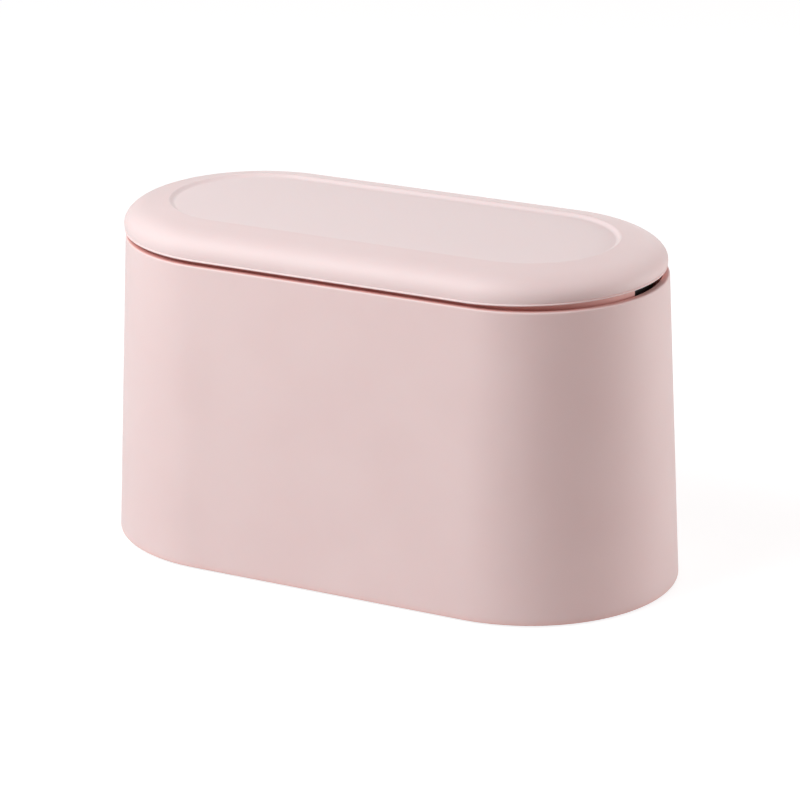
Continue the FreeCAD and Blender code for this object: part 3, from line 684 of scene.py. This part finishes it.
def dish_curve(outer, high, inner, low):
    """Curve that leaves the ridge level, drops, and runs out in a long hollow."""
    return bezier(
        (outer, high),
        (outer - recess_ridge_handle * (outer - inner), high),
        (outer - recess_floor_handle * (outer - inner), low),
        (inner, low), curve_steps)


roll = crown_curve(lid_radius, side_z, crest_radius, crest_z)
dish = dish_curve(recess_radius, crest_z, recess_inner, floor_z)
print("roll swells out %.2f mm" % ((roll[:, 0].max() - lid_radius) / mm))

# %% Profile of the lid
bead_round = 0.35 * mm
bead_out = 0.3 * mm
bead_start = -90
bead_end = 75
bead_steps = 12
crest_lift = 0.75 * mm
crest_spread = 5 * mm
dish_lift = 0.85 * mm

bead_turn = np.radians(np.linspace(bead_start, bead_end, bead_steps))
lip_bead = np.stack([
    lid_radius + bead_out - bead_round + bead_round * np.cos(bead_turn),
    lip_z + bead_round + bead_round * np.sin(bead_turn)], axis=1)
cap_outside = np.concatenate([lip_bead, roll, dish, [(0.0, floor_z)]])

# The crest rises towards the dish in a straight slope, and the dish's floor rises as a whole.
outside_share = 1 - (cap_outside[:, 0] - recess_radius) / crest_spread
dish_share = (cap_outside[:, 1] - floor_z) / recess_depth
in_dish = cap_outside[:, 0] < recess_radius
crest_share = np.clip(np.where(cap_outside[:, 0] > recess_radius, outside_share, dish_share), 0, 1)
floor_lift = dish_lift * in_dish
cap_outside[:, 1] += floor_lift + (crest_lift - floor_lift) * crest_share

cap_inside = np.concatenate([
    [(cap_inner, lip_z)],
    crown_curve(cap_inner, lip_z + cap_skirt, crest_radius, crest_z - cap_wall),
    [(0.0, floor_z - cap_wall)]])
inside_line = refined(cap_inside[::-1], row_length, closed=False)
lid_profile = np.concatenate([inside_line, refined(cap_outside, row_length, closed=False)])
print("lid profile:", len(lid_profile), "points")

# %% Surface of the lid
knuckle_room = 0.75 * mm
knuckle_side_room = 0.6 * mm
lid_notch_top = hinge_line.z + knuckle_radius + knuckle_room
lid_notch = math.asin((hinge_half + knuckle_side_room) / (lid_radius - cap_wall / 2))
roll_points = len(lip_bead) + curve_steps
notch_outside = np.interp(lid_notch_top, cap_outside[:roll_points, 1], cap_outside[:roll_points, 0])
notch_inside = np.interp(lid_notch_top, cap_inside[:curve_steps, 1], cap_inside[:curve_steps, 0])
is_inside = np.arange(len(lid_profile)) < len(inside_line)
lid_stops = plan_stops(lid_notch)
lid_grid = notched(
    lid_profile, lid_stops, lid_notch,
    lowest=lid_notch_top, highest=math.inf, cut_radius=np.where(is_inside, notch_inside, notch_outside))
print("lid grid:", lid_grid.shape[:2])

# %% Straighter sides, lip and place of the lid
straight_until = 0.4
swollen_from = 0.85
latch_rise = 1.0 * mm
hinge_rise = 0.3 * mm
side_drop = 0.25 * mm
lift_fades = 8 * mm
lid_set_back = 0.7 * mm

# The bulge is the second corner's share of the cubic curve, 3 t (1 - t)^2, found again from the height of a
# point. Taking it away leaves a straight side.
step = np.linspace(0, 1, curve_steps)
swell = np.interp(lid_profile[:, 1], roll[:, 1], 3 * crown_bulge * step * (1 - step) ** 2)
swell[is_inside | (lid_profile[:, 0] < crest_radius)] = 0
lengthwise, crosswise = lid_stops[1:]
lean = np.abs(lengthwise)
flattened = swell * np.interp(lean, (straight_until, swollen_from), (1, 0))[:, None]
lid_grid[..., 0] -= flattened * lengthwise[:, None] + lid_set_back
lid_grid[..., 1] -= flattened * crosswise[:, None]
end_rise = np.where(lengthwise > 0, latch_rise, hinge_rise)
lip_lift = end_rise * lean - side_drop * (1 - lean)
lift_share = np.clip(1 - (lid_grid[..., 2] - lip_z) / lift_fades, 0, 1)
lid_grid[..., 2] += lip_lift[:, None] * lift_share
print("lip rises %.2f mm, sags %.2f mm" % (lip_lift.max() / mm, -lip_lift.min() / mm))

# %% Bosses, painted sheen and the lid's mesh
boss_past_crest = 1.5 * mm
lid_boss_turn = math.radians(60)
lid_boss_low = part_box("lid_liner")[1].z
lid_pilot = 6.2 * mm
# Painted sheen on the lid: part of it on the roll, all of it in the dish that faces up.
roll_painted_sheen = 0.4
dish_painted_sheen = 1.0

lid_boss_radius = crest_radius + boss_past_crest
lid_boss_places = four_corners(
    half_straight + lid_boss_radius * math.cos(lid_boss_turn),
    lid_boss_radius * math.sin(lid_boss_turn))
lid_boss_places += [(0.0, lid_boss_radius, 0.0), (0.0, -lid_boss_radius, 0.0)]
lid_boss_profile = boss_profile(lid_boss_low, crest_z - cap_wall / 2, lid_boss_low + lid_pilot)
lid_bosses = turned(lid_boss_profile, lid_boss_places, angle_steps=32)
lid_mesh = grid_mesh("lid_skin", (lid_grid, False), (lid_bosses, False))
profile_painted_sheen = np.where(lid_profile[:, 0] < recess_radius, dish_painted_sheen, roll_painted_sheen)
lid_painted_sheen = np.full(len(lid_mesh.vertices), roll_painted_sheen, np.float32)
lid_painted_sheen[:lid_grid[..., 0].size] = np.broadcast_to(profile_painted_sheen, lid_grid.shape[:2]).ravel()
lid_mesh.attributes.new("painted_sheen", "FLOAT", "POINT").data.foreach_set("value", lid_painted_sheen)
lid_skin = add_piece("lid_skin", lid_mesh, "pink_polypropylene", ["lid_cap"])
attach(lid_skin, "lid")

# %% [markdown]
# ## The bucket
#
# The bucket that lifts out hangs by a flat flange and tapers to a floor with well-rounded corners, so that
# it rinses clean. Its profile starts and ends on the middle line, where the two sides meet in a seam that
# the merge closes.

# %% Bucket
bucket_low, bucket_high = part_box("inner_bucket")
bucket_neck_gap = 0.6 * mm
bucket_wall = 1.6 * mm
bucket_taper = 3.4 * mm
bucket_floor = 1.8 * mm
bucket_corner = 6.0 * mm
bucket_lip_round = 0.8 * mm

bucket_bottom = bucket_low.z
collar_z = bucket_high.z
flange_radius = bucket_high.y
neck_radius = seat_radius - bucket_neck_gap
bucket_foot_radius = neck_radius - bucket_taper
bucket_profile = refined(rounded_profile([
    (0.0, bucket_bottom, 0.0),
    (bucket_foot_radius, bucket_bottom, bucket_corner),
    (neck_radius, seat_z, edge_round),
    (flange_radius, seat_z, edge_round),
    (flange_radius, collar_z, edge_round),
    (neck_radius - bucket_wall, collar_z, bucket_lip_round),
    (bucket_foot_radius - bucket_wall, bucket_bottom + bucket_floor, bucket_corner - bucket_wall),
    (0.0, bucket_bottom + bucket_floor, 0.0),
], closed=False), row_length, closed=False)
bucket_grid = carried(bucket_profile[:, 0], bucket_profile[:, 1], plan_stops())
bucket_skin = add_piece(
    "bucket_skin", grid_mesh("bucket_skin", (bucket_grid, False)), "pink_polypropylene", ["inner_bucket"])
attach(bucket_skin, "bucket")

# %% [markdown]
# ## Feet
#
# Four rubber pads are glued into pockets of the base. A moulded pad has a rounded edge, a ring groove in
# its sole that lets it grip, and a small dimple where the rubber entered the mould. All of that is one
# profile, turned.

# %% Rubber feet
feet_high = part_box("rubber_feet")[1]
foot_radius = 7.0 * mm
foot_edge = 0.6 * mm
groove = 0.3 * mm
groove_round = 0.12 * mm
dimple_radius = 1.8 * mm
groove_start = 4.3 * mm
groove_end = 5.4 * mm
foot_profile = rounded_profile([
    (0.0, groove, 0.0),
    (dimple_radius, groove, groove_round),
    (dimple_radius + groove, 0.0, groove_round),
    (groove_start, 0.0, groove_round),
    (groove_start + groove, groove, groove_round),
    (groove_end - groove, groove, groove_round),
    (groove_end, 0.0, groove_round),
    (foot_radius, 0.0, foot_edge),
    (foot_radius, feet_high.z, edge_round),
    (0.0, feet_high.z, 0.0),
], closed=False)
foot_places = four_corners(feet_high.x - foot_radius, feet_high.y - foot_radius)
foot_grids = turned(foot_profile, foot_places, angle_steps=64)
foot_pads = add_piece(
    "foot_pads", grid_mesh("foot_pads", (foot_grids, False)), "grey_rubber", ["rubber_feet"])
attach(foot_pads, "bin")

# %% [markdown]
# ## Screws
#
# Self-tapping pan-head screws hold the base, the lid's liner and the latch. The head is a turned profile
# whose top is pressed down by a cross, and the shank's radius swells and shrinks along a spiral, which
# gives the thread. Both are small terms in one formula over the angle and the length, so no cutting of one
# mesh by another is needed.

# %% One screw
screw_head = 2.6 * mm
screw_head_height = 1.7 * mm
screw_head_round = 0.7 * mm
screw_seat_round = 0.1 * mm
screw_row = 0.13 * mm
screw_shank = 1.4 * mm
screw_length = 8.0 * mm
screw_tip = 2.0 * mm
thread_core = 1.05 * mm
thread_pitch = 1.25 * mm
thread_start = 0.6 * mm
thread_sharpness = 2.2
cross_half = 0.45 * mm
cross_reach = 1.5 * mm
cross_depth = 0.9 * mm
cross_soft = 0.15 * mm
cross_flare = 1.3
cross_taper = 0.5
screw_profile = refined(rounded_profile([
    (0.0, -screw_head_height, 0.0),
    (screw_head, -screw_head_height, screw_head_round),
    (screw_head, 0.0, screw_seat_round),
    (screw_shank, 0.0, 0.0),
    (screw_shank, screw_length, 0.0),
    (0.0, screw_length, 0.0),
], closed=False), screw_row, closed=False)
print("screw profile:", len(screw_profile), "points")


def screw_grid(angle_steps=64):
    """One screw along +z with its head's seat at z = 0.

    On the head the height rises inside a cross: an arm is where the distance across it is less than its half
    width, which narrows outwards. On the shank the radius goes from core to crest as a saw wave of
    depth / pitch - turn."""
    angle = np.linspace(0, 2 * math.pi, angle_steps, endpoint=False)[:, None]
    radius, depth = np.broadcast_arrays(screw_profile[:, 0], screw_profile[:, 1] + angle * 0)
    along, across = radius * np.cos(angle), radius * np.sin(angle)

    def arm(length, width):
        narrow = cross_half * (cross_flare - cross_taper * np.abs(length) / cross_reach)
        return np.clip((narrow - np.abs(width)) / cross_soft, 0, 1) * np.clip(
            (cross_reach - np.abs(length)) / cross_soft, 0, 1)

    cross = np.maximum(arm(along, across), arm(across, along)) * (depth < -screw_head_height / 2)
    saw = np.abs(2 * ((depth / thread_pitch - angle / (2 * math.pi)) % 1) - 1)
    crest = np.clip(1 - thread_sharpness * saw, 0, 1)
    threaded = thread_core + (screw_shank - thread_core) * crest
    threaded = np.minimum(threaded, np.maximum(screw_length - depth, 0) / screw_tip * screw_shank)
    radius = np.where(depth > thread_start, np.minimum(radius, threaded), radius)
    return np.stack([radius * np.cos(angle), radius * np.sin(angle), depth + cross_depth * cross], axis=-1)


# %% Sets of screws
def add_screws(name, node, places, body, direction):
    """A set of screws at their places, with the shank up (+1) or down (-1)."""
    grids = np.array(places)[:, None, None] + screw_grid() * (1, direction, direction)
    piece = add_piece(name, grid_mesh(name, (grids, False)), "zinc_plated_steel", [node])
    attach(piece, body)


def at_height(places, z):
    """The same places moved to a height."""
    return np.array(places) * (1, 1, 0) + (0, 0, z)


base_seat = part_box("base_screws")[0].z + screw_head_height
add_screws("base_screw_set", "base_screws", at_height(boss_places, base_seat), "bin", 1)
liner_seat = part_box("liner_screws")[0].z + screw_head_height
add_screws("liner_screw_set", "liner_screws", at_height(lid_boss_places, liner_seat), "lid", 1)
latch_low, latch_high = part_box("latch_screws")
latch_x = (latch_low.x + latch_high.x) / 2
ear_y = latch_high.y - screw_head
latch_seat = latch_high.z - screw_head_height
ear_places = [(latch_x, ear_y, latch_seat), (latch_x, -ear_y, latch_seat)]
add_screws("latch_screw_set", "latch_screws", ear_places, "collar", -1)

# %% [markdown]
# ## Springs
#
# The hinge spring is wound round the pin, with one straight leg under the lid and one on the collar. The
# latch spring is a short compression coil whose end turns lie closer together. A wire is a circle carried
# along the coil's line, and it stays round because each circle stands square to the line.

# %% Hinge spring
def wire(path, axis, radius, sides=14):
    """Grid of a round wire: circles square to the path, and a point in the middle of each end.

    One spoke of a circle is the coil's axis less its part along the path, the other is square to both."""
    heading = np.gradient(path, axis=0)
    heading /= np.linalg.norm(heading, axis=1, keepdims=True)
    first = np.array(axis) - heading * (heading @ np.array(axis))[:, None]
    first /= np.linalg.norm(first, axis=1, keepdims=True)
    second = np.cross(heading, first)
    angle = np.linspace(0, 2 * math.pi, sides, endpoint=False)[:, None, None]
    rings = path + radius * (np.cos(angle) * first + np.sin(angle) * second)
    ends = np.broadcast_to(path[[0, -1]], (sides, 2, 3))
    return np.concatenate([ends[:, :1], rings, ends[:, 1:]], axis=1)


torsion_low, torsion_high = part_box("hinge_spring")
torsion_wire = 0.8 * mm
torsion_mean_radius = (torsion_high.z - torsion_low.z - torsion_wire) / 2
torsion_half_turns = 7
torsion_steps = 20
leg_steps = 12
torsion_half = (torsion_high.y - torsion_low.y - torsion_wire) / 2
leg_end = torsion_high.x
turn = np.linspace(0, torsion_half_turns, torsion_half_turns * torsion_steps + 1)
coil_angle = math.pi * (turn + 0.5)
coil = np.stack([
    hinge_line.x + torsion_mean_radius * np.cos(coil_angle),
    torsion_half * (1 - 2 * turn / torsion_half_turns),
    hinge_line.z + torsion_mean_radius * np.sin(coil_angle)], axis=1)
leg_share = np.linspace(0, 1, leg_steps)[:-1, None]
upper_leg = coil[0] + (leg_end - coil[0, 0]) * (1 - leg_share) * (1, 0, 0)
lower_leg = coil[-1] + (leg_end - coil[-1, 0]) * (1 - leg_share[::-1]) * (1, 0, 0)
torsion_path = np.concatenate([upper_leg, coil, lower_leg])
torsion_grid = wire(torsion_path, (0, 1, 0), torsion_wire / 2)
torsion_coil = add_piece(
    "torsion_coil", grid_mesh("torsion_coil", (torsion_grid, False)), "spring_steel", ["hinge_spring"])
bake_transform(torsion_coil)

# %% Latch spring
press_low, press_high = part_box("latch_spring")
press_wire = 0.6 * mm
press_radius = 1.9 * mm
press_half_turns = 13
press_steps = 18
press_closing = 0.5
press_bottom = press_low.z + press_wire / 2
press_top = press_high.z - press_wire / 2
share = np.linspace(0, 1, press_half_turns * press_steps + 1)
rise = share - press_closing * np.sin(2 * math.pi * share) / (2 * math.pi)
press_angle = math.pi * press_half_turns * share
press_path = np.stack([
    latch_x + press_radius * np.cos(press_angle),
    press_radius * np.sin(press_angle),
    press_bottom + (press_top - press_bottom) * rise], axis=1)
press_grid = wire(press_path, (0, 0, 1), press_wire / 2)
press_coil = add_piece(
    "press_coil", grid_mesh("press_coil", (press_grid, False)), "spring_steel", ["latch_spring"])
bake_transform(press_coil)

# %% [markdown]
# ## Pieces with ribs, slots and ears
#
# The collar, the liner, the base and the parts of the latch aren't one profile on a path: they have decks,
# slots and hooks. Working them out again would only repeat the solids. So each gets a copy of its solid's
# mesh, merged and with its flat faces made whole, and a bevel rounds the edges the way a mould does.

# %% Moulded copies
flat_angle = math.radians(0.5)
edge_angle = 30
copy_merge_distance = 1e-6


def moulded_copy(name, node, body, edge):
    """A merged copy of a solid with whole flat faces and softened edges, on the solid's own body."""
    mesh = frame["nodes"][node].data.copy()
    mesh.name = name
    work = bmesh.new()
    work.from_mesh(mesh)
    bmesh.ops.remove_doubles(work, verts=work.verts, dist=copy_merge_distance)
    bmesh.ops.dissolve_limit(
        work, angle_limit=flat_angle, verts=work.verts, edges=work.edges, use_dissolve_boundaries=False)
    work.to_mesh(mesh)
    work.free()
    slot = next(part["material_slot"] for part in frame["record"]["subparts"] if part["node"] == node)
    piece = add_piece(name, mesh, slot, [node], sharp_angle=edge_angle)
    soften = piece.modifiers.new("soft_edges", "BEVEL")
    soften.width = edge
    soften.segments = 2
    soften.limit_method = "ANGLE"
    soften.angle_limit = math.radians(edge_angle)
    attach(piece, body)


moulded_copy("base_skin", "base_plate", "bin", 0.25 * mm)
moulded_copy("collar_skin", "collar", "collar", 0.25 * mm)
moulded_copy("liner_skin", "lid_liner", "lid", 0.25 * mm)
moulded_copy("striker_skin", "lid_striker", "lid", 0.2 * mm)
moulded_copy("housing_skin", "latch_housing", "collar", 0.2 * mm)
moulded_copy("plunger_skin", "latch_plunger", "latch_plunger", 0.12 * mm)
moulded_copy("claw_left_skin", "latch_claw_left", "latch_claw_left", 0.12 * mm)
moulded_copy("claw_right_skin", "latch_claw_right", "latch_claw_right", 0.12 * mm)
moulded_copy("claw_pin_skin", "latch_claw_pins", "latch_plunger", 0.1 * mm)
moulded_copy("hinge_pin_skin", "hinge_pin", "hinge_pin", 0.25 * mm)
moulded_copy("cam_wire_skin", "latch_cam_wire", "collar", 0.08 * mm)

# %% [markdown]
# ## Light and floor
#
# The photograph has one large soft light at the left, in front and above, much light from all round, and a
# weaker light from behind at the right that brightens the far edge. The floor and the world look white to
# the camera and in reflections, while they light the bin only as much as a pale room would.

# %% Floor and world
def white_to_the_eye(material, gathering, seen):
    """Mixes two shaders by ray: camera, glossy and transmission rays meet the second, others the first."""
    rays = add_node(material, "ShaderNodeLightPath")
    direct = add_node(material, "ShaderNodeMath", {"operation": "ADD"})
    links = material.node_tree.links
    links.new(rays.outputs["Is Camera Ray"], direct.inputs[0])
    links.new(rays.outputs["Is Glossy Ray"], direct.inputs[1])
    share = add_node(material, "ShaderNodeMath", {"operation": "ADD", "use_clamp": True})
    links.new(direct.outputs[0], share.inputs[0])
    links.new(rays.outputs["Is Transmission Ray"], share.inputs[1])
    mix = add_node(material, "ShaderNodeMixShader", Fac=share.outputs[0])
    links.new(gathering.outputs[0], mix.inputs[1])
    links.new(seen.outputs[0], mix.inputs[2])
    return mix


def pale_floor(name, paper_hex, shadow_share):
    """White paper that keeps part of the shadow on it, and reads as white wherever it is seen."""
    material = new_material(name)
    paper = add_node(material, "ShaderNodeBsdfDiffuse", Color=linear(paper_hex))
    shade = (shadow_share, shadow_share, shadow_share, 1.0)
    shaded = add_node(material, "ShaderNodeBsdfDiffuse", Color=shade)
    white = add_node(
        material, "ShaderNodeEmission", Color=linear("#FFFFFF"), Strength=1.0 - shadow_share / 2)
    lit = add_node(material, "ShaderNodeAddShader")
    material.node_tree.links.new(white.outputs[0], lit.inputs[0])
    material.node_tree.links.new(shaded.outputs[0], lit.inputs[1])
    mixed = white_to_the_eye(material, paper, lit)
    add_node(material, "ShaderNodeOutputMaterial", Surface=mixed.outputs[0])
    return material


floor_half = 6.0
floor_corners = [(-floor_half, -floor_half, 0), (floor_half, -floor_half, 0),
                 (floor_half, floor_half, 0), (-floor_half, floor_half, 0)]
floor_mesh = bpy.data.meshes.new("floor")
floor_mesh.from_pydata(floor_corners, [], [(0, 1, 2, 3)])
floor_mesh.materials.append(pale_floor("white_paper", "#CFC9C8", shadow_share=0.3))
floor = bpy.data.objects.new("floor", floor_mesh)
bpy.context.scene.collection.objects.link(floor)

room_light = 0.275
world = bpy.data.worlds.new("pale_room")
world.use_nodes = True
world.node_tree.nodes.clear()
room = add_node(world, "ShaderNodeBackground", Color=linear("#FFDEDA"), Strength=room_light)
white_room = add_node(world, "ShaderNodeBackground", Color=linear("#FFFFFF"), Strength=1.0)
add_node(world, "ShaderNodeOutputWorld", Surface=white_to_the_eye(world, room, white_room).outputs[0])
bpy.context.scene.world = world
print("floor and world are white to the camera")


# %% Lamps
def soft_lamp(name, azimuth, elevation, distance, size, watts, hex_colour):
    """Square lamp at two angles round the bin, seen from its middle, turned to face it."""
    azimuth, elevation = math.radians(azimuth), math.radians(elevation)
    outward = Vector((
        math.sin(azimuth) * math.cos(elevation),
        -math.cos(azimuth) * math.cos(elevation),
        math.sin(elevation)))
    data = bpy.data.lights.new(name, "AREA")
    data.size = size
    data.energy = watts
    data.color = linear(hex_colour)[:3]
    lamp = bpy.data.objects.new(name, data)
    lamp.location = view_target + outward * distance
    lamp.rotation_euler = outward.to_track_quat("Z", "Y").to_euler()
    bpy.context.scene.collection.objects.link(lamp)


soft_lamp(
    "key_left", azimuth=-38.5, elevation=45, distance=1.3, size=0.9, watts=17.3, hex_colour="#F2FDFF")
soft_lamp(
    "edge_right", azimuth=125, elevation=7, distance=1.2, size=0.6, watts=9.0, hex_colour="#F8FFFF")
print("lamps:", [light.name for light in bpy.data.lights])
